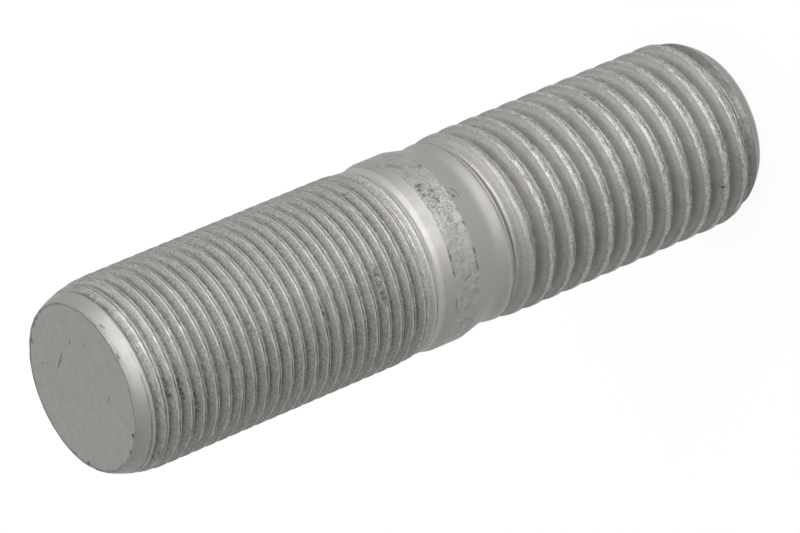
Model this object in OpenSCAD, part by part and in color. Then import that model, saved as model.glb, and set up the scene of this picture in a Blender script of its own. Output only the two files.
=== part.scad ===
// Headless wheel stud, rolled and turned from one steel bar, in millimetres.
// It stands on its hub end at z = 0, and the wheel nut screws on from the top.

/* [Nut end] */
// Nominal diameter of the fine thread that takes the wheel nut
nut_thread_d = 20; // [18:0.5:24]
// Pitch of the fine thread
nut_pitch = 1.5; // [1.25:0.25:2]
// How much smaller than nominal the fine thread is across its rolled crests
nut_crest_gap = 0.17; // [0.05:0.01:0.3]
// Length from the top face to the foot of the neck
nut_shank_l = 36.2; // [30:0.1:42]
// Length over which the fine thread fades out beside the neck
nut_runout_l = 3.6; // [2:0.1:6]
// Length of the rounded lead-in at the top face
nut_lead_l = 5.1; // [3:0.1:7]
// How far the rounded lead-in drops from the crests to the top face
nut_lead_drop = 1.18; // [0.8:0.01:1.6]
// Turn of the fine thread's first crest about the axis
nut_start = 158; // [0:1:359]

/* [Hub end] */
// Nominal diameter of the coarse thread that screws into the hub
hub_thread_d = 20; // [18:0.5:24]
// Pitch of the coarse thread
hub_pitch = 2.5; // [2:0.25:3]
// How much smaller than nominal the coarse thread is across its rolled crests
hub_crest_gap = 0.29; // [0.05:0.01:0.4]
// Depth to which each edge of the coarse thread's crest is rolled round
hub_edge_drop = 0.14; // [0.05:0.01:0.2]
// Length from the bottom face to the foot of the neck
hub_shank_l = 34.4; // [30:0.1:42]
// Length over which the coarse thread fades out beside the neck
hub_runout_l = 6.4; // [4:0.1:8]
// Length of the rounded lead-in at the bottom face
hub_lead_l = 4.5; // [3:0.1:7]
// How far the rounded lead-in drops from the crests to the bottom face
hub_lead_drop = 1.78; // [1:0.01:2.2]
// Turn of the coarse thread's first crest about the axis
hub_start = 145; // [0:1:359]

/* [Collar] */
// How much smaller than the larger nominal diameter the collar is
collar_gap = 0.14; // [0:0.01:0.3]
// Length of the collar
collar_l = 3; // [2:0.1:10]
// Length of the cone from the fine thread up to the collar
nut_cone_l = 1.8; // [1:0.1:4]
// Length of the cone from the collar down to the coarse thread
hub_cone_l = 3.2; // [1.5:0.1:6]

/* [Facets] */
// Flat steps in one turn of a thread
turn_steps = 28; // [24:2:30]

/* [Hidden] */
$fn = 96;

// Lean of a metric thread's flank, off the radius
flank_angle = 30;
// Lean of the flat that stands for a rounded crest edge, off the radius
edge_angle = 50;
// A thread fades on for this length inside its cone
thread_tail = 0.6;
// Straight stretches that make up a rounded lead-in
lead_steps = 3;

nut_crest_d = nut_thread_d - nut_crest_gap;
hub_crest_d = hub_thread_d - hub_crest_gap;
collar_d = max(nut_thread_d, hub_thread_d) - collar_gap;
total_l = hub_shank_l + hub_cone_l + collar_l + nut_cone_l + nut_shank_l;

// Pitch radius and root radius of a metric thread of nominal diameter d
function pitch_r(d, pitch) = d / 2 - 3 / 16 * sqrt(3) * pitch;
function root_r(d, pitch) = d / 2 - 17 / 48 * sqrt(3) * pitch;

// Half the width of the crest land: a sixteenth of the pitch at the nominal
// diameter, and wider by the flank's slope where the crest is rolled lower
function crest_half(d, crest_d, pitch) =
    pitch / 16 + (d - crest_d) / 2 * tan(flank_angle);

// Half the width of the root land that the two flanks leave
function root_half(d, crest_d, pitch) =
    pitch / 2 - crest_half(d, crest_d, pitch)
    - (crest_d / 2 - root_r(d, pitch)) * tan(flank_angle);

// One edge of the crest at distance ch from its middle, as a list of corners
// from the crest down to the flank. A flat stands for a rounded edge
function crest_edge(ch, crest_r, edge_drop) =
    edge_drop == 0 ? [[ch, crest_r]] :
    let (foot = ch + edge_drop * tan(flank_angle))
    [[foot - edge_drop * tan(edge_angle), crest_r], [foot, crest_r - edge_drop]];

// The thread's outline over one pitch, as [distance along the axis, radius]
function outline(d, crest_d, pitch, edge_drop) =
    let (
        edge = crest_edge(crest_half(d, crest_d, pitch), crest_d / 2, edge_drop),
        rh = root_half(d, crest_d, pitch)
    )
    [
        for (i = [len(edge) - 1 : -1 : 0]) [-edge[i][0], edge[i][1]],
        each edge,
        [pitch / 2 - rh, root_r(d, pitch)],
        [pitch / 2 + rh, root_r(d, pitch)]
    ];

// A rolled thread fades to the bare bar, which has the pitch diameter. The
// fade is a parabola that starts runout_l before the end of the thread
function faded(r, x, bare_r, end_x, runout_l) =
    let (g = min(1, max(0, (x - end_x + runout_l) / runout_l)))
    r + (bare_r - r) * g * g;

// Radius of the rounded lead-in at distance x from the face: an arc that
// meets the crest line without a corner at lead_l
function lead_r(x, crest_r, lead_l, lead_drop) =
    let (bend = (lead_l * lead_l + lead_drop * lead_drop) / (2 * lead_drop))
    crest_r - bend + sqrt(bend * bend - (lead_l - x) * (lead_l - x));

// Endless thread along +Z with a right-hand lead. Each column of points
// follows the outline at one angle, and the next column is a step further up
module thread_core(d, crest_d, pitch, edge_drop, start, end_x, runout_l) {
    corners = outline(d, crest_d, pitch, edge_drop);
    lap = len(corners);
    turns = ceil(end_x / pitch) + 2;
    rows = lap * turns;
    bare_r = pitch_r(d, pitch);
    points = [
        for (j = [0 : turn_steps - 1], k = [0 : turns - 1], c = corners)
            let (
                x = pitch * (k - 1 + j / turn_steps) + c[0],
                r = faded(c[1], x, bare_r, end_x, runout_l),
                a = start + 360 * j / turn_steps
            )
            [r * cos(a), r * sin(a), x]
    ];
    // Index of a point: the column after the last one is the first one again,
    // a full pitch further along
    function at(j, i) = j < turn_steps ? j * rows + i : i + lap;
    bottom = len(points);
    top = bottom + 1;
    last = turn_steps - 1;
    skin = [
        for (j = [0 : last], i = [0 : rows - 2 - (j == last ? lap : 0)])
            each [
                [at(j, i), at(j, i + 1), at(j + 1, i)],
                [at(j + 1, i), at(j, i + 1), at(j + 1, i + 1)]
            ]
    ];
    bottom_fan = [for (j = [0 : last]) [bottom, at(j, 0), at(j + 1, 0)]];
    top_fan = [
        for (j = [0 : last])
            [top, at(j + 1, rows - 1 - (j == last ? lap : 0)),
                at(j, rows - 1 - (j == last ? lap : 0))]
    ];
    bottom_step = [[bottom, for (i = [lap : -1 : 0]) at(0, i)]];
    top_step = [[top, for (i = [rows - 1 - lap : rows - 1]) at(last, i)]];
    ends = [[0, 0, -2 * pitch], [0, 0, pitch * turns]];
    polyhedron(
        points = concat(points, ends),
        faces = concat(skin, bottom_fan, top_fan, bottom_step, top_step)
    );
}

// One threaded end, standing on its face, cut to length and rounded at the face.
// The edges of its crests are square unless edge_drop rounds them
module threaded_end(d, crest_d, pitch, start, shank_l, runout_l, lead_l, lead_drop,
                    edge_drop = 0) {
    end_x = shank_l + thread_tail;
    arc = [
        for (i = [0 : lead_steps - 1])
            let (x = lead_l * i / lead_steps)
            [lead_r(x, crest_d / 2, lead_l, lead_drop), x]
    ];
    // The last stretch of the lead-in runs on straight, clear of the crests
    clear = 2 * arc[lead_steps - 1] - arc[lead_steps - 2];
    intersection() {
        thread_core(d, crest_d, pitch, edge_drop, start, end_x, runout_l);
        rotate_extrude()
            polygon(concat([[0, 0]], arc, [clear, [clear[0], end_x], [0, end_x]]));
    }
}

// Collar with a cone on each side. Each cone runs on under its thread until
// it is as thin as the thread's root
module neck() {
    collar_r = collar_d / 2;
    hub_foot = pitch_r(hub_thread_d, hub_pitch);
    nut_foot = pitch_r(nut_thread_d, nut_pitch);
    hub_root = root_r(hub_thread_d, hub_pitch);
    nut_root = root_r(nut_thread_d, nut_pitch);
    hub_run = hub_cone_l * (collar_r - hub_root) / (collar_r - hub_foot);
    nut_run = nut_cone_l * (collar_r - nut_root) / (collar_r - nut_foot);
    collar_z = hub_shank_l + hub_cone_l;
    rotate_extrude()
        polygon([
            [0, collar_z - hub_run],
            [hub_root, collar_z - hub_run],
            [collar_r, collar_z],
            [collar_r, collar_z + collar_l],
            [nut_root, collar_z + collar_l + nut_run],
            [0, collar_z + collar_l + nut_run]
        ]);
}

module wheel_stud() {
    color("#9c9c98") union() {
        neck();
        threaded_end(hub_thread_d, hub_crest_d, hub_pitch, hub_start, hub_shank_l,
            hub_runout_l, hub_lead_l, hub_lead_drop, hub_edge_drop);
        translate([0, 0, total_l])
            rotate([180, 0, 0])
                threaded_end(nut_thread_d, nut_crest_d, nut_pitch, nut_start,
                    nut_shank_l, nut_runout_l, nut_lead_l, nut_lead_drop);
    }
}

wheel_stud();
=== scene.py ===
# %% [markdown]
# # A double-ended wheel stud
# The real stud is one steel bar. A fine thread is rolled on the end that takes
# the wheel nut, a coarse thread on the end that screws into the hub, and the
# collar between them keeps the bar's full size. The whole stud is dipped in
# zinc flakes, which bake to a matt grey skin.
# The CAD solid already has the right size and the two helices. What it lacks
# is what rolling leaves behind, round roots and round crests with a fine seam
# along the middle, and what use leaves, nicks, scuffs and dirt. One new skin
# is worked out here as a surface and takes the solid's place.

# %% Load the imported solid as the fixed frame
import math
from dataclasses import dataclass

import bpy
import numpy as np
from mathutils import Matrix, Vector


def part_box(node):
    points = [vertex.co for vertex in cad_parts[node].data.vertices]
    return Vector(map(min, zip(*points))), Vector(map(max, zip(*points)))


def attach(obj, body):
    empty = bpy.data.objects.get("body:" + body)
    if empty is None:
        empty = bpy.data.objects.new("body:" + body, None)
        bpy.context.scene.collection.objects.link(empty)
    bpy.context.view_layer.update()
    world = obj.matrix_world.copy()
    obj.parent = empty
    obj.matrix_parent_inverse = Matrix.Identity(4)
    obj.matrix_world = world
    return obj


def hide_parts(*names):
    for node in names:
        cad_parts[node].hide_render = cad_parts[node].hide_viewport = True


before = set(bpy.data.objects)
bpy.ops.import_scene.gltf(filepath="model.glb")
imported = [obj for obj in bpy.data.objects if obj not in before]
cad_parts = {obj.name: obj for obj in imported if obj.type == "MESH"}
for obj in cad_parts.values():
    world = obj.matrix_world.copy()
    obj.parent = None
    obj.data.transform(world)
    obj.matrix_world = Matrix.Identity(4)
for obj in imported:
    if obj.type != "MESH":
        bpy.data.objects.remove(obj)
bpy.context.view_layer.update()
MM = 0.001
low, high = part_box("wheel_stud")
LENGTH = high.z / MM
print(f"stud: {LENGTH:.2f} mm long, {(high.x - low.x) / MM:.2f} mm across")

# %% [markdown]
# ## The numbers of the two threads
# Both threads are metric, so their flanks lean 30 degrees off the radius and
# the roots sit 17/48 of root three pitches below the nominal radius. A rolled
# thread isn't pressed quite full, so its crests stay a little lower and wider
# than the standard's. Places count from the nut end's face, as a turner would
# measure them, and angles count from the side that the camera sees.

# %% Thread data
FLANK_SLOPE = math.sqrt(3)
NOMINAL_R = 10.0


@dataclass
class Thread:
    """The sizes of one rolled thread, in millimetres.
    before, after: how far the two corners of the crest land lie from the
    nominal crest, towards the nut end and towards the hub, each with the width
    over which it is rounded, and how far the first corner strays.
    seam: where it runs on the land, its depth and its half width.
    crown: the land falls away from the seam by crown * distance squared.
    The radius of the roots and that of the bare bar follow from the pitch."""

    pitch: float
    crest_r: float
    first_crest: float
    before: float
    before_round: float
    before_strays: float
    after: float
    after_round: float
    seam_at: float
    seam_depth: float
    seam_w: float
    crown: float

    def __post_init__(self):
        self.root_r = NOMINAL_R - 17 / 48 * FLANK_SLOPE * self.pitch
        self.bare_r = NOMINAL_R - 3 / 16 * FLANK_SLOPE * self.pitch


fine = Thread(pitch=1.5, crest_r=9.915, first_crest=1.217,
              before=0.24, before_round=0.12, before_strays=0.035,
              after=0.21, after_round=0.035,
              seam_at=0.07, seam_depth=0.14, seam_w=0.045, crown=0.0)
coarse = Thread(pitch=2.5, crest_r=9.856, first_crest=45.19,
                before=0.52, before_round=0.15, before_strays=0.045,
                after=0.25, after_round=0.09,
                seam_at=0.14, seam_depth=0.11, seam_w=0.045, crown=0.12)
print(f"fine root {fine.root_r:.3f}, coarse root {coarse.root_r:.3f}")

# %% [markdown]
# ## Helpers for smooth shapes
# Steel that was rolled has no sharp inner or outer corners. A smooth minimum
# rounds the corner where two curves cross from above, and a smooth maximum
# rounds a valley, so a whole profile can be put together from straight lines.


# %% Smooth joins and steps
def smooth_min(a, b, width):
    """The smaller of a and b, with the corner rounded over width:
    mix of the two by h, less width * h * (1 - h)."""
    h = np.clip(0.5 + 0.5 * (a - b) / width, 0, 1)
    return a * (1 - h) + b * h - width * h * (1 - h)


def smooth_max(a, b, width):
    """The larger of a and b, with the corner rounded over width."""
    return -smooth_min(-a, -b, width)


def step(x, start, end):
    """Eases from 0 at start to 1 at end: 3 t squared less 2 t cubed."""
    t = np.clip((x - start) / (end - start), 0, 1)
    return t * t * (3 - 2 * t)


def between(x, rise, fall):
    """1 between two places, easing up over rise and down over fall."""
    return step(x, *rise) * (1 - step(x, *fall))


def bell(x, width):
    """1 at x = 0, falling to nothing within about two widths: e to the power
    of less (x / width) squared."""
    return np.exp(-((x / width) ** 2))


print("half way up a step:", step(0.5, 0, 1), "and a bell at its width:", round(bell(1, 1), 3))

# %% [markdown]
# ## Small irregularities
# No rolled edge is perfectly even. Random numbers at each point would give
# spikes, so a sum of long sine waves is used. Around the bar they have whole
# numbers of waves, which lets them close after a turn. Each place has a seed
# of its own, so every run gives the same stud.

# %% Seeded waves
SEEDS = {"fine edge": 12, "fine seam": 13, "coarse edge": 22, "coarse seam": 23,
         "nut face": 31, "hub face": 41, "rim": 51, "wear": 61}
WAVE_SPREAD = 1.6


def waves(seed, phi, s, cell, count=24):
    """Smooth seeded noise on the bar, mostly between -1 and 1: the sum of
    sin(whole number * angle + rate * place + start), over 1.6 times its spread."""
    draw = np.random.default_rng(seed)
    around = draw.integers(0, int(2 * math.pi * NOMINAL_R / cell), count)
    lengthwise = draw.uniform(-1, 1, count) * 2 * math.pi / cell
    start = draw.uniform(0, 2 * math.pi, count)
    total = np.zeros(np.broadcast(phi, s).shape)
    for turns_round, rate, shift in zip(around, lengthwise, start):
        total += np.sin(turns_round * phi + rate * s + shift)
    return total / math.sqrt(count / 2) / WAVE_SPREAD


EDGE_CELL = 0.9
sample = waves(SEEDS["fine edge"], np.linspace(0, 2 * math.pi, 400), 0.0, EDGE_CELL)
print(f"waves from {sample.min():.2f} to {sample.max():.2f}, "
      f"closing to {abs(sample[0] - sample[-1]):.4f}")

# %% [markdown]
# ## Section of a rolled thread
# Between two dies the steel climbs up both flanks at once and meets in the
# middle of the crest, where it leaves a seam between two lips. The section
# could be drawn point by point, but a formula in the distance from the crest
# serves both threads: flanks cut by a crest land, with a round root under
# them. The seam is kept apart, because it runs on where a crest is cut lower.

# %% Section and seam
# The roots are rounded over this share of the pitch
ROOT_ROUND = 0.1
# The seam strays by a share of its width, and its depth by a share of itself
SEAM_SHIFT, SEAM_SHIFT_CELL = 0.5, 3.0
SEAM_GAIN, SEAM_GAIN_CELL = 0.7, 2.0


def section(thread, offset, wander=0.0):
    """Radius at offset along the axis from the nominal crest, whose first
    corner may wander.
    flank: crest radius less slope * distance beyond the crest's corner
    land: crest radius less crown * distance from the seam squared
    crest: smooth minimum of land and flanks
    root: smooth maximum of that and the root radius"""
    rise = thread.crest_r + FLANK_SLOPE * (offset + thread.before + wander)
    fall = thread.crest_r - FLANK_SLOPE * (offset - thread.after)
    land = thread.crest_r - thread.crown * (offset - thread.seam_at) ** 2
    rise = smooth_min(rise, land, thread.before_round)
    fall = smooth_min(fall, land, thread.after_round)
    r = np.minimum(rise, fall)
    return smooth_max(r, np.full_like(r, thread.root_r), thread.pitch * ROOT_ROUND)


def seam(thread, offset, phi, s, seed):
    """Depth of the seam: a bell-shaped groove that wanders a little and is
    deeper here and shallower there."""
    strays = thread.seam_w * SEAM_SHIFT * waves(seed, phi, s, SEAM_SHIFT_CELL)
    gain = np.clip(1 + SEAM_GAIN * waves(seed + 1, phi, s, SEAM_GAIN_CELL), 0.1, 2)
    return thread.seam_depth * gain * bell(offset - (thread.seam_at + strays), thread.seam_w)


def turns_at(thread, s, phi):
    """How many pitches a point lies past the first crest's helix."""
    return (s - thread.first_crest) / thread.pitch - phi / (2 * math.pi)


def offset_at(thread, s, phi):
    """Signed distance along the axis from the crest that is nearest, when
    the root's middle is the border between two crests."""
    border = (thread.after - thread.before) / 2 / thread.pitch
    turns = turns_at(thread, s, phi)
    return (turns - np.round(turns - border)) * thread.pitch


for label, thread in (("fine", fine), ("coarse", coarse)):
    r = section(thread, np.linspace(-thread.pitch / 2, thread.pitch / 2, 50))
    print(f"{label} section from {r.min():.3f} to {r.max():.3f} mm radius")

# %% [markdown]
# ## Neck and rounded ends
# The neck was turned before the threads were rolled: a cone up to the collar,
# the collar, and a cone down. At each face the bar is rounded over a few
# millimetres, so that a nut or the hub finds its way. Both are plain formulas
# in the place along the bar. Only the rim of the nut end's face is chipped.

# %% Neck, lead-in and rim
COLLAR_R = 9.93
NUT_CONE_END, COLLAR_END = 38.0, 41.0
NUT_CONE_SLOPE, HUB_CONE_SLOPE = 0.222, 0.228
NUT_LEAD, NUT_LEAD_DROP = 5.1, 1.195
HUB_LEAD, HUB_LEAD_DROP = 4.5, 1.776
RIM_BREAK, RIM_CELL, RIM_MOST = 0.025, 0.8, 0.2
RIM_REACH = 0.35
FACE_CHIPS = (
    # angle and half width in degrees, depth
    (-140, 4, 0.07),
    (-62, 4, 0.06),
    (-30, 3, 0.10),
    (-12, 3.5, 0.13),
    (-4, 3, 0.07),
    (20, 4, 0.10),
    (47, 3, 0.08),
    (118, 5, 0.08),
)


def lead_in(x, crest_r, length, drop):
    """Radius of the rounded lead-in at x from the face: an arc that starts
    drop below the crests and meets them at length."""
    bend = (length**2 + drop**2) / (2 * drop)
    short = np.clip(length - x, 0, length)
    return crest_r - bend + np.sqrt(bend**2 - short**2)


def neck(s):
    """Cone up to the collar, collar, and cone down towards the hub thread."""
    up = COLLAR_R + NUT_CONE_SLOPE * (s - NUT_CONE_END)
    down = COLLAR_R - HUB_CONE_SLOPE * (s - COLLAR_END)
    return np.minimum(np.minimum(up, down), COLLAR_R)


def rim_break(phi):
    """How far the rim of the face is broken back: a ragged line all round,
    and a bell for each chip."""
    broken = RIM_BREAK + RIM_BREAK * waves(SEEDS["rim"], phi, 0 * phi, RIM_CELL)
    for at, width, deep in FACE_CHIPS:
        broken = broken + deep * bell(phi - math.radians(at), math.radians(width))
    return np.clip(broken, 0, RIM_MOST)


print(f"nut end's face {2 * lead_in(0.0, fine.crest_r, NUT_LEAD, NUT_LEAD_DROP):.2f} mm across, "
      f"hub end's {2 * lead_in(0.0, coarse.crest_r, HUB_LEAD, HUB_LEAD_DROP):.2f} mm")

# %% [markdown]
# ## The whole surface as one function
# Every point of the skin lies at one radius for its place along the axis and
# its angle, so the stud is a function of s and phi. It starts with the thread,
# fades it to the bare bar beside the neck, cuts it by the rounded lead-in at
# the face, and lays the neck's cones and collar over it. Near both faces the
# dies have less steel to push up, so the first and the last crest start late
# and stay narrow.

# %% Where each thread starts and runs out
LEAD_ROUND = 0.03
NUT_GROOVE_STARTS = (0.6, 1.9)
NUT_LATE, NUT_LATE_UNTIL = 0.15, (2.4, 3.2)
NUT_SEAM_STARTS = (1.15, 1.6)
NUT_RUNOUT, NUT_RUNOUT_SHARE = (33.3, 36.2), 0.65
HUB_LATE, HUB_LATE_FROM = 0.32, (75.7, 76.4)
HUB_SEAM_STOPS = (1.6, 2.4)
HUB_RUNOUT_FROM, HUB_RUNOUT_L, HUB_RUNOUT_SWAY = 49.8, 6.63, 0.625
HUB_GROOVE_OPENS = (0.15, 0.75)
NUT_JOIN, HUB_JOIN = 0.06, 0.2


def nut_end(s, phi):
    """Fine thread, faded beside the neck and cut by the lead-in at the face,
    where the first groove starts from nothing."""
    offset = offset_at(fine, s, phi)
    late = NUT_LATE * (1 - step(s, *NUT_LATE_UNTIL))
    strays = fine.before_strays * waves(SEEDS["fine edge"], phi, s, EDGE_CELL)
    r = section(fine, offset, strays - late)
    r = r + (fine.bare_r - r) * NUT_RUNOUT_SHARE * step(s, *NUT_RUNOUT)
    face = lead_in(s, fine.crest_r, NUT_LEAD, NUT_LEAD_DROP)
    depth = smooth_max(face - r, np.zeros_like(r), LEAD_ROUND)
    r = np.where(s < NUT_LEAD, face - depth * step(s, *NUT_GROOVE_STARTS), r)
    r = r - seam(fine, offset, phi, s, SEEDS["fine seam"]) * step(s, *NUT_SEAM_STARTS)
    return r - rim_break(phi) * (1 - step(s, 0.0, RIM_REACH))


def hub_end(s, phi):
    """Coarse thread. Its last groove is filled up to the ridges at the front
    of the neck and gets its full depth within the next turn."""
    turns = turns_at(coarse, s, phi)
    offset = offset_at(coarse, s, phi)
    late = HUB_LATE * step(s, *HUB_LATE_FROM)
    strays = coarse.before_strays * waves(SEEDS["coarse edge"], phi, s, EDGE_CELL)
    r = section(coarse, offset, strays - late)
    where = s - HUB_RUNOUT_SWAY * np.sin(phi)
    fade = np.clip((HUB_RUNOUT_FROM - where) / HUB_RUNOUT_L, 0, 1) ** 2
    r = r + (coarse.bare_r - r) * fade
    ridge = coarse.crest_r + (coarse.bare_r - coarse.crest_r) * fade
    groove_turn = phi / (2 * math.pi) + np.floor(turns) + 1
    r = r + (ridge - r) * (1 - step(groove_turn, *HUB_GROOVE_OPENS))
    face = lead_in(LENGTH - s, coarse.crest_r, HUB_LEAD, HUB_LEAD_DROP)
    r = np.where(s > LENGTH - HUB_LEAD, smooth_min(r, face, LEAD_ROUND), r)
    return r - seam(coarse, offset, phi, s, SEEDS["coarse seam"]) * step(LENGTH - s, *HUB_SEAM_STOPS)


def radius(s, phi):
    """Radius of the finished stud, in millimetres: the larger of thread and
    neck, with the join rounded, and the neck alone along the collar."""
    r = np.where(s < NUT_CONE_END, nut_end(s, phi), hub_end(s, phi))
    joined = smooth_max(r, neck(s), np.where(s < NUT_CONE_END, NUT_JOIN, HUB_JOIN))
    return np.where((s < NUT_CONE_END) | (s > COLLAR_END), joined, neck(s))


places = np.array([0.0, 20.0, 39.5, 60.0])
print("radius at", places, "mm:", radius(places, np.zeros(4)).round(3))

# %% [markdown]
# ## Rows that follow the thread
# A plain grid of rings would cut across the crests and leave stairs in their
# highlights. In the threaded zones each row of points climbs with the helix
# instead, so one row runs along the crest, one along the seam, and so on.
# After a full turn a row arrives one pitch further on, where it meets the row
# of the next pitch. Rows that run past the end of a zone stay on its last
# ring, and the doubled points there are merged.

# %% Rows over one pitch
FINE_SEAM_ROWS, COARSE_SEAM_ROWS = 0.045, 0.06
ROOT_EDGE, ROOT_RISE = 0.13, 0.3


def row_offsets(thread, seam_rows):
    """Offsets of the rows over one pitch: close together at the seam and at
    the rounded corners, and wide apart on the flanks."""
    bend = thread.before_round / FLANK_SLOPE
    far_bend = thread.after_round / FLANK_SLOPE
    root = (thread.pitch - thread.before + thread.after) / 2
    crest_from, crest_to = -thread.before + bend, thread.after - far_bend
    seam_from, seam_to = thread.seam_at - seam_rows, thread.seam_at + seam_rows
    half = thread.pitch / 2
    return np.unique(np.round(np.concatenate([
        np.linspace(-thread.before - bend, crest_from, 4),
        np.linspace(crest_from, seam_from, 3),
        [thread.seam_at],
        np.linspace(seam_to, crest_to, 3),
        [thread.after],
        np.linspace(thread.after + far_bend, root - ROOT_EDGE * half, 3),
        [root, root - thread.pitch + ROOT_EDGE * half, root - thread.pitch + ROOT_RISE * half],
    ]), 4))


FINE_ROWS = row_offsets(fine, FINE_SEAM_ROWS)
COARSE_ROWS = row_offsets(coarse, COARSE_SEAM_ROWS)
print("fine rows", FINE_ROWS)
print("coarse rows", COARSE_ROWS)

# %% Rows of the two threads and rings of the neck
COLUMNS = 128
PHI = np.arange(COLUMNS) * 2 * math.pi / COLUMNS - math.pi
# Rows that end closer than this to the end of a zone are put on its last ring
SNAP = 0.03
NUT_ZONE_END, HUB_ZONE_START = 37.0, 43.3
NECK_RINGS = np.concatenate([
    np.linspace(37.2, 37.8, 4), np.linspace(37.92, 38.08, 5),
    np.linspace(38.3, 40.7, 9), np.linspace(40.92, 41.08, 5),
    np.linspace(41.3, 43.1, 10)])


def helix_rows(thread, offsets, start, end):
    """Places along the axis of the rows of one threaded zone, one line per
    row: first crest + pitch * (turn + angle / full turn) + offset, kept
    inside the zone."""
    first = math.floor((start - thread.first_crest) / thread.pitch) - 2
    last = math.ceil((end - thread.first_crest) / thread.pitch) + 2
    turns = np.arange(first, last + 1)[:, None] * thread.pitch
    base = (thread.first_crest + turns + offsets[None, :]).ravel()
    rows = base[:, None] + thread.pitch * PHI[None, :] / (2 * math.pi)
    keep = (rows.max(1) > start - thread.pitch) & (rows.min(1) < end + thread.pitch)
    rows = rows[keep]
    rows = np.where(rows < start + SNAP, start, rows)
    return np.where(rows > end - SNAP, end, rows)


nut_rows = helix_rows(fine, FINE_ROWS, 0.0, NUT_ZONE_END)
hub_rows = helix_rows(coarse, COARSE_ROWS, HUB_ZONE_START, LENGTH)
neck_rows = np.repeat(NECK_RINGS[:, None], COLUMNS, 1)
print(f"rows: {len(nut_rows)} fine, {len(neck_rows)} neck, {len(hub_rows)} coarse")

# %% [markdown]
# ## Places of all points
# The flat faces are rings too, from the middle out to the rim. A die leaves a
# ragged little fold where the lead-in meets the face, so the ring just inside
# the rim is pressed in by an uneven amount.

# %% Points of the skin
FACE_SHARES = np.array([0, 0.14, 0.28, 0.42, 0.56, 0.7, 0.82, 0.92, 0.965])
INNER_IN, INNER_STRAYS = 0.27, 0.07
FOLD_IN, FOLD_STRAYS, FOLD_CELL = 0.12, 0.05, 0.9
FOLD_DEPTH, FOLD_UNEVEN, FOLD_DEPTH_CELL = 0.05, 0.045, 1.5
FOLD_LEAST, FOLD_MOST = 0.01, 0.12


def face_rings(rim_r, s_face, inward, seed):
    """Rings of one end face from its middle to its fold: share * rim radius,
    and a fold at the rim, inward by a little that changes with the angle."""
    flat = FACE_SHARES[:, None] * rim_r[None, :]
    strays = waves(seed, PHI, 0 * PHI, FOLD_CELL)
    inner_r = rim_r - INNER_IN - INNER_STRAYS * strays
    fold_r = rim_r - FOLD_IN - FOLD_STRAYS * strays
    uneven = FOLD_UNEVEN * waves(seed + 1, PHI, 0 * PHI, FOLD_DEPTH_CELL)
    fold = np.clip(FOLD_DEPTH + uneven, FOLD_LEAST, FOLD_MOST)
    depth = np.vstack([np.zeros_like(flat), 0 * fold, fold])
    return np.vstack([flat, inner_r, fold_r]), s_face + inward * depth


side_s = np.concatenate([nut_rows, neck_rows, hub_rows])
side_r = radius(side_s, np.broadcast_to(PHI, side_s.shape))
nut_face_r, nut_face_s = face_rings(side_r[0], 0.0, 1, SEEDS["nut face"])
hub_face_r, hub_face_s = face_rings(side_r[-1], LENGTH, -1, SEEDS["hub face"])
all_r = np.vstack([nut_face_r, side_r, hub_face_r[::-1]])
all_s = np.vstack([nut_face_s, side_s, hub_face_s[::-1]])
all_phi = np.broadcast_to(PHI, all_s.shape)
print(f"radius from {side_r.min():.3f} to {side_r.max():.3f} mm")

# %% [markdown]
# ## Joining the rows to a closed skin
# Neighbouring rows and columns give quads. Between the last column and the
# first one a threaded zone steps on by one pitch of rows, and rings meet
# themselves. Points at the same place become one, so the zones join without
# a gap, and quads that lost a side become triangles.

# %% Which row each row meets after a turn
row_total = len(all_s)
before_nut = len(nut_face_s)
before_neck = before_nut + len(nut_rows)
before_hub = before_neck + len(neck_rows)
after_hub = before_hub + len(hub_rows)
row_no = np.arange(row_total)
meets = row_no.copy()
meets[before_nut:before_neck] = np.minimum(
    row_no[before_nut:before_neck] + len(FINE_ROWS), before_neck - 1)
meets[before_hub:after_hub] = np.minimum(
    row_no[before_hub:after_hub] + len(COARSE_ROWS), after_hub - 1)
print(f"{row_total} rows of {COLUMNS} points")

# %% Points, quads and triangles
xyz = np.stack([-all_r * np.sin(all_phi), -all_r * np.cos(all_phi),
                LENGTH - all_s], -1).reshape(-1, 3)
number = np.arange(row_total * COLUMNS).reshape(row_total, COLUMNS)
wide = np.concatenate([number, number[meets, 0][:, None]], 1)
quads = np.stack([wide[:-1, :-1], wide[:-1, 1:], wide[1:, 1:], wide[1:, :-1]],
                 -1).reshape(-1, 4)
_, kept, merged = np.unique(np.round(xyz, 4), axis=0, return_index=True,
                            return_inverse=True)
quads = merged.ravel()[quads]
distinct = quads != np.roll(quads, 1, axis=1)
sides = distinct.sum(1)
full = quads[sides == 4]
triangles = quads[sides == 3][distinct[sides == 3]].reshape(-1, 3)
print(f"{len(kept)} points, {len(full)} quads, {len(triangles)} triangles, "
      f"{2 * len(full) + len(triangles)} triangles in all")

# %% The skin as a Blender object
mesh = bpy.data.meshes.new("stud_skin")
mesh.from_pydata((xyz[kept] * MM).tolist(), [], full.tolist() + triangles.tolist())
mesh.shade_smooth()
stud = bpy.data.objects.new("stud_skin", mesh)
bpy.context.scene.collection.objects.link(stud)
print("needed no repair:", not mesh.validate())
edge_of = np.empty(len(mesh.loops), dtype=np.int32)
mesh.loops.foreach_get("edge_index", edge_of)
print("closed, each edge between two faces:", bool((np.bincount(edge_of) == 2).all()))
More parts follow.
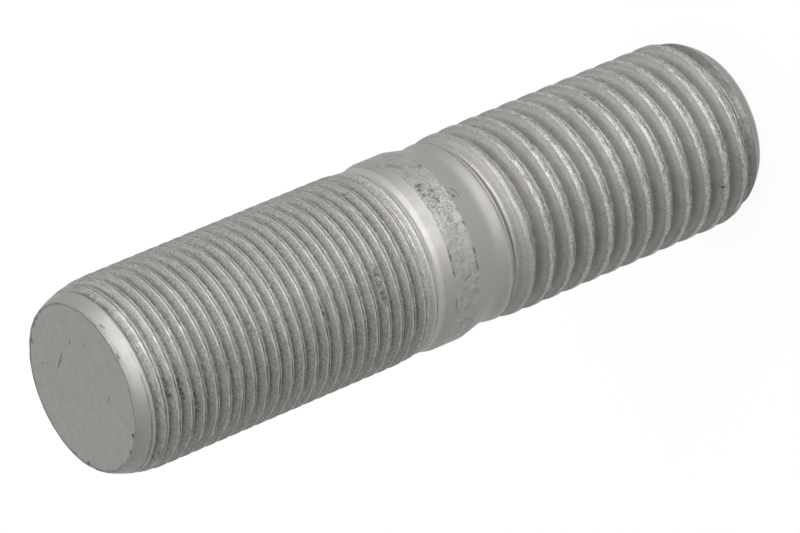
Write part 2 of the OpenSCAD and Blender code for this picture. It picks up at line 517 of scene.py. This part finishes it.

# %% [markdown]
# ## Scuffs
# Before the material is made, each point is told how worn and how dirty it is, and where light and
# shade are painted on it, because a pattern alone couldn't follow a helix. The first layer is the
# dark scuffs where the stud was knocked: along some crests, and round the edges of the collar. They
# are placed where the photo shows them.

# %% Dark scuffs along the crests and the collar
SCUFFS = (
    # place along the bar at the first angle, angles in degrees, width, strength
    (2.8, 55, 75, 0.3, 0.6), (3.1, -6, 2, 0.2, 0.7), (3.5, 10, 30, 0.35, 0.8),
    (5.0, 14, 36, 0.35, 0.9), (5.9, -36, -26, 0.2, 0.5), (6.7, 26, 48, 0.3, 0.6),
    (14.3, -2, 14, 0.25, 0.5), (22.4, 8, 22, 0.3, 0.6), (27.6, -24, -12, 0.3, 0.5),
    (29.5, -4, 28, 0.22, 0.9), (33.2, 30, 60, 0.25, 0.5), (37.7, -70, -56, 0.12, 0.8),
    (38.0, 48, 55, 0.25, 0.6), (38.1, 33, 52, 0.11, 0.8), (38.12, 5, 28, 0.16, 1.0),
    (38.5, -66, -50, 0.3, 0.7), (38.6, -38, -22, 0.35, 0.9), (39.5, -30, -16, 0.35, 0.8),
    (39.9, 22, 34, 0.10, 0.7), (40.6, -52, -40, 0.2, 0.6), (40.93, -8, 3, 0.13, 0.8),
    (40.95, 9, 30, 0.17, 1.0), (45.9, 2, 26, 0.25, 0.9), (50.8, -10, 2, 0.3, 0.6),
    (57.4, 18, 30, 0.2, 0.4), (59.69, -54, -18, 0.11, 1.0), (62.12, -56, -30, 0.09, 0.9),
    (64.66, -47, -36, 0.08, 0.9), (67.4, 60, 72, 0.2, 0.5), (72.3, 34, 46, 0.25, 0.9),
    (75.0, -2, 8, 0.2, 0.6), (77.0, -24, -12, 0.15, 0.6),
)
NUT_THREAD_TO, HUB_THREAD_FROM = 37.0, 43.0
SCUFF_END = 0.1


def scuffs(s, phi):
    """Strongest of all scuffs at a point: strength * bell of the distance from
    a line that climbs with the thread * soft ends."""
    pitch = np.where(s < NUT_THREAD_TO, fine.pitch,
                     np.where(s > HUB_THREAD_FROM, coarse.pitch, 0))
    most = np.zeros(s.shape)
    for at, first, last, width, strength in SCUFFS:
        a, b = math.radians(first), math.radians(last)
        across = s - at - pitch * (phi - a) / (2 * math.pi)
        ends = between(phi, (a, a + SCUFF_END), (b - SCUFF_END, b))
        most = np.maximum(most, strength * ends * bell(across, width))
    return most


flat_s, flat_phi, flat_r = (a.ravel()[kept] for a in (all_s, all_phi, all_r))
scuffed = scuffs(flat_s, flat_phi)
print(f"{len(SCUFFS)} scuffs, on {(scuffed > 0.3).mean():.1%} of the points")

# %% [markdown]
# ## Crests and grooves
# A nut or a tapped hole rubs the crests, the flanks of the grooves get a paler grey as painted
# light, and the roots get painted shade. So the finish needs to know how deep each point lies under
# the envelope that the crests would touch, as a share of the full depth of the groove.

# %% How deep each point lies
# The fold is less deep than this, so it holds all points of a face
FACE_REACH = 0.13
NECK_FROM, NECK_TO = (36.6, 37.2), (44.7, 45.6)
COLLAR_FROM, COLLAR_TO = (37.9, 38.1), (40.9, 41.1)
NUT_CRESTS_FROM, HUB_CRESTS_FROM = (1.2, 2.0), (1.5, 3.0)
CREST_TOP, NUT_CREST_DEPTH, HUB_CREST_DEPTH = 0.02, 0.09, 0.16
# At the faces the lead-in leaves hardly any groove, so this depth is the least
LEAST_GROOVE = 0.3

on_nut = flat_s < NUT_CONE_END


def by_end(nut_value, hub_value):
    """One number for the fine thread's half, another for the coarse one's."""
    return np.where(on_nut, nut_value, hub_value)


on_face = (np.isclose(flat_s, 0, atol=FACE_REACH)
           | np.isclose(flat_s, LENGTH, atol=FACE_REACH))
on_collar = between(flat_s, COLLAR_FROM, COLLAR_TO)
threaded = (1 - between(flat_s, NECK_FROM, NECK_TO)) * ~on_face
offset = by_end(offset_at(fine, flat_s, flat_phi), offset_at(coarse, flat_s, flat_phi))
envelope = by_end(lead_in(flat_s, fine.crest_r, NUT_LEAD, NUT_LEAD_DROP),
                  lead_in(LENGTH - flat_s, coarse.crest_r, HUB_LEAD, HUB_LEAD_DROP))
depth = np.clip(envelope - flat_r, 0, 2) * threaded
full_depth = np.maximum(envelope - by_end(fine.root_r, coarse.root_r), LEAST_GROOVE)
groove = np.clip(depth / full_depth, 0, 1)
full_crest = step(flat_s, *NUT_CRESTS_FROM) * step(LENGTH - flat_s, *HUB_CRESTS_FROM) * threaded
crest = (1 - step(depth, CREST_TOP, by_end(NUT_CREST_DEPTH, HUB_CREST_DEPTH))) * full_crest
print(f"crests on {(crest > 0.5).mean():.1%} of the points, deep grooves on "
      f"{(groove > 0.8).mean():.1%}")

# %% [markdown]
# ## Dirt and painted shade
# Dark colour goes where old dirt sits out of reach of anything that rubs, and where shade is
# painted. The roots take dirt and painted shade. The lee side of a coarse crest, the side that turns
# away from the nut, takes painted shade. The seams and the fold at the rim of the face take dirt. Of
# the shallow first and last grooves, the last takes painted shade and the first is darkened too.
# Each has its own strength on each end, and a point takes the strongest.

# %% Dirt and painted shade in the roots, painted shade on the lee sides, dirt in the seams
# Strengths and limits, for the fine thread and for the coarse one
ROOT_DIRT_AND_SHADE, LEE_SHADE, IN_SEAMS, IN_END_GROOVES = (0.85, 0.75), (0, 0.8), (0.75, 0.65), (0.4, 1.0)
ROOT_FROM, ROOT_TO = (0.68, 0.74), (0.97, 1.0)
SEAM_DIRT_W = (0.045, 0.05)
LEE_EDGE, LEE_UNTIL = 0.06, (0.5, 0.9)

in_root = step(groove, by_end(*ROOT_FROM), by_end(*ROOT_TO))
lee_from = by_end(fine.after, coarse.after)
# Painted shade: the lee side of a coarse crest is darkened as if the crest shaded it.
lee = step(offset, lee_from - LEE_EDGE, lee_from + LEE_EDGE) * (1 - step(groove, *LEE_UNTIL))
seam_line = bell(offset - by_end(fine.seam_at, coarse.seam_at), by_end(*SEAM_DIRT_W))
# The roots are darkened partly as dirt and partly as painted shade.
root_dirt_and_shade = by_end(*ROOT_DIRT_AND_SHADE) * in_root
painted_lee_shade = by_end(*LEE_SHADE) * lee * full_crest
seam_dirt = by_end(*IN_SEAMS) * seam_line * step(flat_s, *NUT_SEAM_STARTS) * threaded
for label, amount in (("roots", root_dirt_and_shade), ("lee sides", painted_lee_shade), ("seams", seam_dirt)):
    print(f"dirt in the {label}: {(amount > 0.3).mean():.1%} of the points")

# %% Darker end grooves, painted shade in the last one, and dirt under the fold
# Places in turns past the first crest, and widths
FIRST_GROOVE_AT, FIRST_GROOVE_W = 0.5, 0.16
LAST_GROOVE_AT, LAST_GROOVE_W = 12.66, 0.12
FOLD_DIRT, FOLD_DIRT_UNEVEN, WEAR_CELL = 0.6, 0.3, 1.0

first_groove = bell(turns_at(fine, flat_s, flat_phi) - FIRST_GROOVE_AT, FIRST_GROOVE_W)
last_groove = bell(turns_at(coarse, flat_s, flat_phi) - LAST_GROOVE_AT, LAST_GROOVE_W)
# The first groove is darkened, and the last one takes painted shade in place of the shade that a
# crest casts into the other grooves.
end_groove_darkening = by_end(*IN_END_GROOVES) * by_end(first_groove, last_groove) * threaded
unevenly = waves(SEEDS["wear"], flat_phi, flat_s, WEAR_CELL)
fold_row = np.isclose(all_s, 0, atol=FACE_REACH) & (row_no[:, None] == before_nut - 1)
fold_dirt = np.clip(FOLD_DIRT + FOLD_DIRT_UNEVEN * unevenly, 0, 1) * fold_row.ravel()[kept]
# This dark layer holds dirt and painted shade.
dirt_and_shade_at = np.maximum.reduce([root_dirt_and_shade, painted_lee_shade, seam_dirt, end_groove_darkening, fold_dirt])
print(f"dirt on {(dirt_and_shade_at > 0.3).mean():.1%} of the points")

# %% [markdown]
# ## Grain
# The fine thread, the coarse thread's crests and one band of the collar look
# sandy, as if the coating had dried over dust. Painting the grain point by
# point would need far more points, so each point only says how sandy it is,
# and the material adds the sand. The rest of the collar is only mottled, and
# the end faces a little.

# %% Grain at each point, and all layers together
SANDY_FROM, SANDY_TO = (1.3, 1.9), (35.2, 35.9)
NUT_SAND, NUT_CREST_RUBBED = 0.7, 0.6
HUB_SAND, HUB_CREST_SAND = 0.25, 0.6
# Angle of the collar's sandy band and its half width, in degrees
BAND_AT, BAND_HALF = -18, 24
MOTTLE, MOTTLE_UNEVEN, FACE_MOTTLE = 0.7, 0.3, 0.2
# The collar takes part of the crests' lighter grey as painted light, in place of light from below.
COLLAR_LIT = 0.45

sandy_nut = NUT_SAND * between(flat_s, SANDY_FROM, SANDY_TO) * (1 - NUT_CREST_RUBBED * crest)
sandy_hub = HUB_SAND + HUB_CREST_SAND * crest
sandy_band = on_collar * bell(np.degrees(flat_phi) - BAND_AT, BAND_HALF)
mottled = on_collar * (MOTTLE + MOTTLE_UNEVEN * unevenly) + FACE_MOTTLE * on_face
layers = {
    "crest": np.maximum(crest, COLLAR_LIT * on_collar),
    "groove": groove,
    "grain": np.maximum(by_end(sandy_nut, sandy_hub) * threaded, sandy_band),
    "mottle": np.clip(mottled, 0, 1),
    "dust_and_shade": dirt_and_shade_at,
    "scuff": scuffed * ~on_face,
    "across": offset,
}
for name, values in layers.items():
    layer = mesh.attributes.new(name, "FLOAT", "POINT")
    layer.data.foreach_set("value", values.astype(np.float32))
    print(f"{name}: {values.min():.2f} to {values.max():.2f}, mean {values.mean():.2f}")

# %% [markdown]
# ## Tools for a material
# A material in Blender is a tree of nodes. Written out in full it would fill
# pages, so a few small functions add one node each, set it and hand back its
# output. Numbers, colours and other nodes' outputs can all be fed in.


# %% Nodes in one line each
def feed(tree, socket, value):
    """Sets an input socket to a number, vector or colour, or links an output."""
    if isinstance(value, bpy.types.NodeSocket):
        tree.links.new(value, socket)
    elif isinstance(value, tuple) and len(socket.default_value) > len(value):
        socket.default_value = (*value, 1)
    else:
        socket.default_value = value


def new_node(tree, kind, **inputs):
    """Adds a node and sets its inputs by name."""
    node = tree.nodes.new(kind)
    for name, value in inputs.items():
        feed(tree, node.inputs[name], value)
    return node


def maths(tree, operation, a, b, clamp=False):
    """A Math node on sockets or numbers. Returns its output."""
    node = tree.nodes.new("ShaderNodeMath")
    node.operation = operation
    node.use_clamp = clamp
    feed(tree, node.inputs[0], a)
    feed(tree, node.inputs[1], b)
    return node.outputs[0]


def vector_maths(tree, operation, a, b=None):
    """A Vector Math node on sockets, vectors or a scale. Returns its output."""
    node = tree.nodes.new("ShaderNodeVectorMath")
    node.operation = operation
    feed(tree, node.inputs[0], a)
    if b is not None:
        feed(tree, node.inputs["Scale"] if operation == "SCALE" else node.inputs[1], b)
    return node.outputs["Value" if operation in ("DOT_PRODUCT", "LENGTH") else "Vector"]


# %% Ramps, mixes, noise and short lines
CAPSULE_CORE = 0.4


def ramp(tree, value, start, end, low=0.0, high=1.0):
    """Map Range: value from start to end becomes low to high, kept inside."""
    node = tree.nodes.new("ShaderNodeMapRange")
    node.clamp = True
    feed(tree, node.inputs["Value"], value)
    for key, number in zip(("From Min", "From Max", "To Min", "To Max"),
                           (start, end, low, high)):
        node.inputs[key].default_value = number
    return node.outputs["Result"]


def mix_colour(tree, share, a, b):
    """Mixes two colours, which are sockets or plain RGB values."""
    node = tree.nodes.new("ShaderNodeMix")
    node.data_type = "RGBA"
    for socket, value in zip((node.inputs[0], node.inputs[6], node.inputs[7]), (share, a, b)):
        feed(tree, socket, value)
    return node.outputs[2]


def noise(tree, place, scale, detail=2.0, roughness=0.5):
    """Noise over a place, in features per millimetre."""
    node = new_node(tree, "ShaderNodeTexNoise", Vector=place, Scale=scale, Detail=detail,
                    Roughness=roughness)
    return node.outputs["Fac"]


def capsule(tree, place, start, end, radius):
    """1 within radius of the line from start to end, fading out at its edge.
    share = dot(p - a, b - a) / dot(b - a, b - a), kept between 0 and 1
    distance = length of p - a - share * (b - a)"""
    run = Vector(end) - Vector(start)
    span = max(run.length_squared, 1e-6)
    away = vector_maths(tree, "SUBTRACT", place, start)
    share = maths(tree, "MULTIPLY", vector_maths(tree, "DOT_PRODUCT", away, tuple(run)),
                  1 / span, clamp=True)
    nearest = vector_maths(tree, "SCALE", tuple(run), share)
    distance = vector_maths(tree, "LENGTH", vector_maths(tree, "SUBTRACT", away, nearest))
    return ramp(tree, distance, radius, radius * CAPSULE_CORE)


# %% [markdown]
# ## Zinc-flake finish
# Baked zinc flakes look like dull silver paint. Most of the light is mirrored
# in thousands of tiny plates that lie every way, which gives a broad soft
# sheen, and the rest is scattered by the binder between them. A metal shader
# alone would be too dark beside the sheen, and a paint alone too flat, so the
# shader is about four fifths metal, with a rough surface.

# %% The material, its coordinates and its noises
METAL_SHARE = 0.78

finish = bpy.data.materials.new("zinc_flake")
finish.use_nodes = True
tree = finish.node_tree
shader = tree.nodes["Principled BSDF"]
shader.inputs["Metallic"].default_value = METAL_SHARE
metres = new_node(tree, "ShaderNodeTexCoord").outputs["Object"]
mm = vector_maths(tree, "MULTIPLY", metres, (1 / MM, 1 / MM, 1 / MM))
point = {}
for name in layers:
    node = tree.nodes.new("ShaderNodeAttribute")
    node.attribute_name = name
    point[name] = node.outputs["Fac"]
cloud = noise(tree, mm, 0.35, 3.0, 0.6)
sand = noise(tree, mm, 4.5, 3.0, 0.75)
ragged = noise(tree, mm, 2.6, 4.0, 0.65)
blotches = noise(tree, mm, 1.3, 5.0, 0.7)
print("layers read by the material:", ", ".join(point))

# %% [markdown]
# ## Streaks along the crests
# The dies slide a little as they press, and draw fine streaks along each
# crest. Noise that is squeezed across the crest and stretched along it looks
# like that. The layer with the distance from the crest gives the squeezed
# direction, which winds with the helix.

# %% Streaks that the dies drew
STREAKS_ALONG, STREAKS_ACROSS, STREAKS_DRIFT = 0.8, 11.0, 0.3

apart = new_node(tree, "ShaderNodeSeparateXYZ", Vector=mm)
squeezed = maths(tree, "MULTIPLY", point["across"], STREAKS_ACROSS)
drift = maths(tree, "MULTIPLY", apart.outputs["Z"], STREAKS_DRIFT)
crest_place = new_node(
    tree, "ShaderNodeCombineXYZ",
    X=maths(tree, "MULTIPLY", apart.outputs["X"], STREAKS_ALONG),
    Y=maths(tree, "MULTIPLY", apart.outputs["Y"], STREAKS_ALONG),
    Z=maths(tree, "ADD", squeezed, drift))
streak = noise(tree, crest_place.outputs[0], 1.0, 3.0, 0.7)
drawn = ramp(tree, point["crest"], 0.5, 1.0)
print(f"a streak is {STREAKS_ACROSS / STREAKS_ALONG:.0f} times as long as wide")

# %% [markdown]
# ## Base colour
# The colours are laid over each other: the coating with faint warm clouds, crests that are worn and
# carry a painted sheen, a collar lightened as painted light, a paler grey on the flanks of the
# grooves as painted light, then dirt and painted shade, scuffs and a few dark specks. Ragged noise
# breaks up the dark layer and the scuffs, since dirt and scuffs never end in a clean line on the
# real stud.

# %% Coating, painted light, dirt and painted shade, scuffs and specks
GREY = (0.238, 0.235, 0.223)
WARM_GREY = (0.250, 0.231, 0.208)
RUBBED_AND_LIT = (0.255, 0.252, 0.240)
FLANK_LIGHT_GREY = (0.315, 0.309, 0.290)
DUST_AND_SHADE = (0.060, 0.056, 0.050)
SOOT = (0.035, 0.032, 0.029)

warmth = maths(tree, "MULTIPLY", ramp(tree, cloud, 0.42, 0.62),
               ramp(tree, point["groove"], 0.0, 0.3, 0.15, 1.0))
colour = mix_colour(tree, warmth, GREY, WARM_GREY)
# Crests lighter as wear and as a painted sheen, and the collar lighter as painted light.
colour = mix_colour(tree, ramp(tree, point["crest"], 0.2, 1.0), colour, RUBBED_AND_LIT)
# Painted light: the flanks and roots of the grooves get a paler grey, in place of light that the
# crests keep from them.
flank_light_share = ramp(tree, point["groove"], 0.10, 0.30, 0.0, 0.85)
colour = mix_colour(tree, flank_light_share, colour, FLANK_LIGHT_GREY)
# Dirt and painted shade, broken up by ragged noise.
dirt_and_shade = maths(tree, "MULTIPLY", point["dust_and_shade"], ramp(tree, ragged, 0.3, 0.6, 0.65, 1.0))
colour = mix_colour(tree, dirt_and_shade, colour, DUST_AND_SHADE)
torn = maths(tree, "MULTIPLY", ramp(tree, ragged, 0.38, 0.60), point["scuff"])
soot = ramp(tree, torn, 0.15, 0.6, 0.0, 0.75)
colour = mix_colour(tree, soot, colour, SOOT)
dots = ramp(tree, noise(tree, mm, 3.2, 2.0, 0.6), 0.67, 0.71)
here_and_there = ramp(tree, noise(tree, mm, 0.5, 2.0, 0.5), 0.5, 0.6, 0.0, 0.7)
colour = mix_colour(tree, maths(tree, "MULTIPLY", dots, here_and_there), colour, DUST_AND_SHADE)
print(f"grey coating {GREY}, lit_flanks {FLANK_LIGHT_GREY}")

# %% [markdown]
# ## Pits and scratches
# A few marks are too sharp for a layer of points: pits and a scratch on the
# nut end's face, dents on the collar's band and chips at the rim. Each is a
# short line with round ends, and the shader works out its distance from it.

# %% Marks of the end face and of the bar
FACE_MARKS = (
    # x and y of start and end, radius
    ((4.69, -1.35), (4.45, -1.2), 0.16),
    ((3.63, -3.60), (3.63, -3.60), 0.17),
    ((3.71, 5.37), (3.71, 5.37), 0.15),
    ((2.77, 2.77), (3.3, 1.8), 0.13),
    ((3.3, 1.8), (3.84, 0.91), 0.08),
    ((-1.9, -4.2), (-2.2, -3.7), 0.08),
)
BAR_MARKS = (
    # place along the bar and angle in degrees of start and end, radius
    ((0.35, -33), (0.45, -30), 0.13),
    ((0.16, -11), (0.14, -8), 0.13),
    ((38.45, -33.4), (39.15, -33.9), 0.14),
    ((39.3, 29.0), (39.95, 26.9), 0.12),
    ((39.45, -22.0), (39.65, -19.6), 0.13),
    ((39.6, -27.8), (39.75, -26.2), 0.13),
    ((40.8, -47.5), (40.85, -46.2), 0.12),
    ((41.12, -22.4), (41.15, -21.8), 0.13),
    ((41.40, -19.6), (41.45, -18.8), 0.19),
    ((41.76, -24.0), (42.06, -21.7), 0.10),
    ((42.06, -21.7), (42.05, -18.2), 0.09),
)


def on_bar(s, degrees):
    """The point of the skin at a place along the bar and an angle."""
    angle = math.radians(degrees)
    r = float(radius(np.array([s]), np.array([angle]))[0])
    return (-r * math.sin(angle), -r * math.cos(angle), LENGTH - s)


marks = [((*a, LENGTH), (*b, LENGTH), size) for a, b, size in FACE_MARKS]
marks += [(on_bar(*a), on_bar(*b), size) for a, b, size in BAR_MARKS]
pits = 0.0
for start, end, size in marks:
    pits = maths(tree, "MAXIMUM", pits, capsule(tree, mm, start, end, size))
pits = maths(tree, "MULTIPLY", pits, ramp(tree, ragged, 0.3, 0.5, 0.3, 0.8))
colour = mix_colour(tree, pits, colour, DUST_AND_SHADE)
print(f"{len(marks)} marks")

# %% [markdown]
# ## Grain, roughness and relief
# Sand, streaks and mottling make the colour lighter and darker, by up to two
# thirds in the sandiest parts. Sand and streaks also lift the surface by a few
# hundredths of a millimetre, so that they catch the light, and scuffs and pits
# go in. Real bumps that small would take millions of points, so a bump node
# tilts the shading instead.

# %% Grain in the colour
sandy = maths(tree, "MULTIPLY", ramp(tree, sand, 0.3, 0.7, -0.60, 0.70), point["grain"])
streaky = maths(tree, "MULTIPLY", ramp(tree, streak, 0.3, 0.7, -0.5, 0.5), drawn)
blotchy = maths(tree, "MULTIPLY", ramp(tree, blotches, 0.35, 0.65, -0.34, 0.22), point["mottle"])
lift = maths(tree, "ADD", maths(tree, "ADD", sandy, streaky), maths(tree, "ADD", blotchy, 1.0))
grained = new_node(tree, "ShaderNodeHueSaturation", Value=lift, Color=colour)
feed(tree, shader.inputs["Base Color"], grained.outputs["Color"])

# %% Roughness and relief
GRAIN_DEPTH = 0.02 * MM
RELIEF_STRENGTH = 0.7
RELIEF_EVERYWHERE = 0.3
MARK_DEPTH = 1.5

feed(tree, shader.inputs["Roughness"],
     ramp(tree, noise(tree, mm, 1.0, 3.0, 0.6), 0.3, 0.7, 0.50, 0.60))
grains = maths(tree, "MULTIPLY", sand, maths(tree, "ADD", point["grain"], RELIEF_EVERYWHERE))
grains = maths(tree, "ADD", grains, maths(tree, "MULTIPLY", streak, drawn))
dents = maths(tree, "MULTIPLY", maths(tree, "ADD", soot, pits), MARK_DEPTH)
bump = new_node(tree, "ShaderNodeBump", Strength=RELIEF_STRENGTH, Distance=GRAIN_DEPTH,
                Height=maths(tree, "SUBTRACT", grains, dents))
feed(tree, shader.inputs["Normal"], bump.outputs["Normal"])
mesh.materials.append(finish)
print(f"finish: {len(tree.nodes)} nodes")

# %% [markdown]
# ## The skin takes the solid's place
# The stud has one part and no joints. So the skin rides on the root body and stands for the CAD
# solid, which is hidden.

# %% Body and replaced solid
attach(stud, "root")
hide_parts("wheel_stud")
print("stud_skin rides on root in the place of wheel_stud")

# %% [markdown]
# ## Camera
# The photo was taken with a long lens from above and in front of the nut end,
# and turned so that the stud lies across the picture. The stud stands on its
# hub end here, so the same view is a camera that looks down at it and rolls.
# Turning the stud instead would take it out of the frame of its CAD solid.

# %% Camera from the fitted view
ELEVATION = math.asin(0.5215)
ROLL = math.radians(22.86)
LENS_MM, SENSOR_MM = 344.6, 36.0
# The nut end's face from the lens: along the stud as it is seen, across, away
NUT_FACE_IN_VIEW = (-32.68, -1.115, 735.7)

ahead = Vector((0, math.cos(ELEVATION), -math.sin(ELEVATION)))
along = Vector((0, -math.sin(ELEVATION), -math.cos(ELEVATION)))
across = Vector((-1, 0, 0))
shift_along, shift_across, away = NUT_FACE_IN_VIEW
spot = Vector((0, 0, LENGTH)) - along * shift_along - across * shift_across - ahead * away
right = along * math.cos(ROLL) + across * math.sin(ROLL)
up = along * math.sin(ROLL) - across * math.cos(ROLL)
turned = Matrix((right, up, -ahead)).transposed().to_4x4()
lens = bpy.data.cameras.new("camera")
lens.lens = LENS_MM
lens.sensor_width = SENSOR_MM
lens.sensor_fit = "HORIZONTAL"
lens.clip_start, lens.clip_end = 0.01, 50
camera = bpy.data.objects.new("camera", lens)
camera.matrix_world = Matrix.Translation(spot * MM) @ turned
bpy.context.scene.collection.objects.link(camera)
bpy.context.scene.camera = camera
print("camera at", [round(c, 1) for c in spot], "mm")

# %% [markdown]
# ## Table
# The stud stands on a round white table with a low wall, so that every view
# has a white background. More lamps could make it white, but they would wash
# out the steel. Instead nine tenths of what the camera, a mirror or glass sees
# of it is its own glow. The last tenth is matt white, which keeps the stud's
# soft shadow, and to all other light the whole table is matt white.

# %% Round table with a low wall
TABLE_R, WALL_HEIGHT, CORNERS = 2.0, 0.25, 96

turn = np.arange(CORNERS) * 2 * math.pi / CORNERS
circle = np.stack([np.cos(turn), np.sin(turn), 0 * turn], -1) * TABLE_R
corner = np.arange(CORNERS)
beside = np.roll(corner, -1)
wall = np.stack([corner, corner + CORNERS, beside + CORNERS, beside], -1)
table_mesh = bpy.data.meshes.new("table")
table_mesh.from_pydata(np.vstack([circle, circle + (0, 0, WALL_HEIGHT)]).tolist(), [],
                       [corner.tolist()] + wall.tolist())
table = bpy.data.objects.new("table", table_mesh)
bpy.context.scene.collection.objects.link(table)
print(f"table {2 * TABLE_R:.0f} m across, {len(table_mesh.polygons)} faces")

# %% White that keeps a shadow
GLOW_SHARE = 0.92

white = bpy.data.materials.new("white_table")
white.use_nodes = True
tree = white.node_tree
matt = tree.nodes["Principled BSDF"]
matt.inputs["Base Color"].default_value = (0.8, 0.8, 0.8, 1)
matt.inputs["Roughness"].default_value = 0.9
rays = tree.nodes.new("ShaderNodeLightPath").outputs
seen = maths(tree, "MAXIMUM", rays["Is Camera Ray"], rays["Is Glossy Ray"])
seen = maths(tree, "MAXIMUM", seen, rays["Is Transmission Ray"])
glow = new_node(tree, "ShaderNodeEmission", Strength=1.0)
blend = tree.nodes.new("ShaderNodeMixShader")
feed(tree, blend.inputs[0], maths(tree, "MULTIPLY", seen, GLOW_SHARE))
feed(tree, blend.inputs[1], matt.outputs[0])
feed(tree, blend.inputs[2], glow.outputs[0])
feed(tree, tree.nodes["Material Output"].inputs["Surface"], blend.outputs[0])
table_mesh.materials.append(white)
print(f"{GLOW_SHARE:.0%} of what the camera sees of the table is glow")

# %% [markdown]
# ## Room
# In the photo the light comes mostly from above the lying stud, which is the
# +X side here. So the room's ceiling is bright on that side and its walls are
# dim, and the other side has a dim ceiling. One even level would be simpler,
# but it leaves the grooves on the lower side too light.

# %% Light of the room
NEAR_WALL, NEAR_CEILING = 0.30, 2.00
FAR_WALL, FAR_CEILING = 0.62, 0.36

room = bpy.data.worlds.new("room")
room.use_nodes = True
bpy.context.scene.world = room
tree = room.node_tree
air = tree.nodes["Background"]
air.inputs["Color"].default_value = (1, 1, 1, 1)
direction = new_node(tree, "ShaderNodeSeparateXYZ",
                     Vector=new_node(tree, "ShaderNodeTexCoord").outputs["Generated"])
near = ramp(tree, direction.outputs["Z"], 0.0, 1.0, NEAR_WALL, NEAR_CEILING)
far = ramp(tree, direction.outputs["Z"], 0.0, 1.0, FAR_WALL, FAR_CEILING)
nearness = ramp(tree, direction.outputs["X"], -1.0, 1.0)
gain = maths(tree, "MULTIPLY", nearness, maths(tree, "SUBTRACT", near, far))
feed(tree, air.inputs["Strength"], maths(tree, "ADD", far, gain))
print(f"room from {NEAR_WALL} at the near wall to {NEAR_CEILING} at the near ceiling")

# %% [markdown]
# ## Lamps
# A broad, low lamp in front gives the bright line along the crests and the
# collar. Two soft lamps above fill in the cones and the end face, and a weak
# one lights the back, so that the stud can be looked at from all sides. Small
# lamps would leave hard spots, where the photo shows soft lines.

# %% Four soft lamps
LAMPS = (
    # name, azimuth and elevation in degrees, distance and size in metres, radiance
    ("key", 292.5, 4.5, 0.9, (1.6, 0.26), 12.3),
    ("top", 295, 56, 0.9, (0.6, 0.45), 1.5),
    ("over", 350, 79, 0.9, (0.65, 0.65), 1.2),
    ("back", 95, 38, 0.9, (0.6, 0.45), 0.6),
)


def add_lamp(name, azimuth, elevation, distance, size, radiance):
    """A soft lamp, wide by high, that faces the stud.
    Power = radiance * pi * area."""
    a, e = math.radians(azimuth), math.radians(elevation)
    towards = Vector((math.cos(e) * math.cos(a), math.cos(e) * math.sin(a), math.sin(e)))
    light = bpy.data.lights.new(name, "AREA")
    light.shape = "RECTANGLE"
    light.size, light.size_y = size
    light.energy = radiance * math.pi * size[0] * size[1]
    lamp = bpy.data.objects.new(name, light)
    lamp.location = Vector((0, 0, LENGTH * MM / 2)) + towards * distance
    lamp.rotation_euler = towards.to_track_quat("Z", "Y").to_euler()
    bpy.context.scene.collection.objects.link(lamp)
    print(f"lamp {name}: {light.energy:.2f} W")


for row in LAMPS:
    add_lamp(*row)

# %% [markdown]
# ## Last settings
# Plain Standard colours show the finish as it is.

# %% Picture settings and the end
bpy.context.scene.view_settings.view_transform = "Standard"
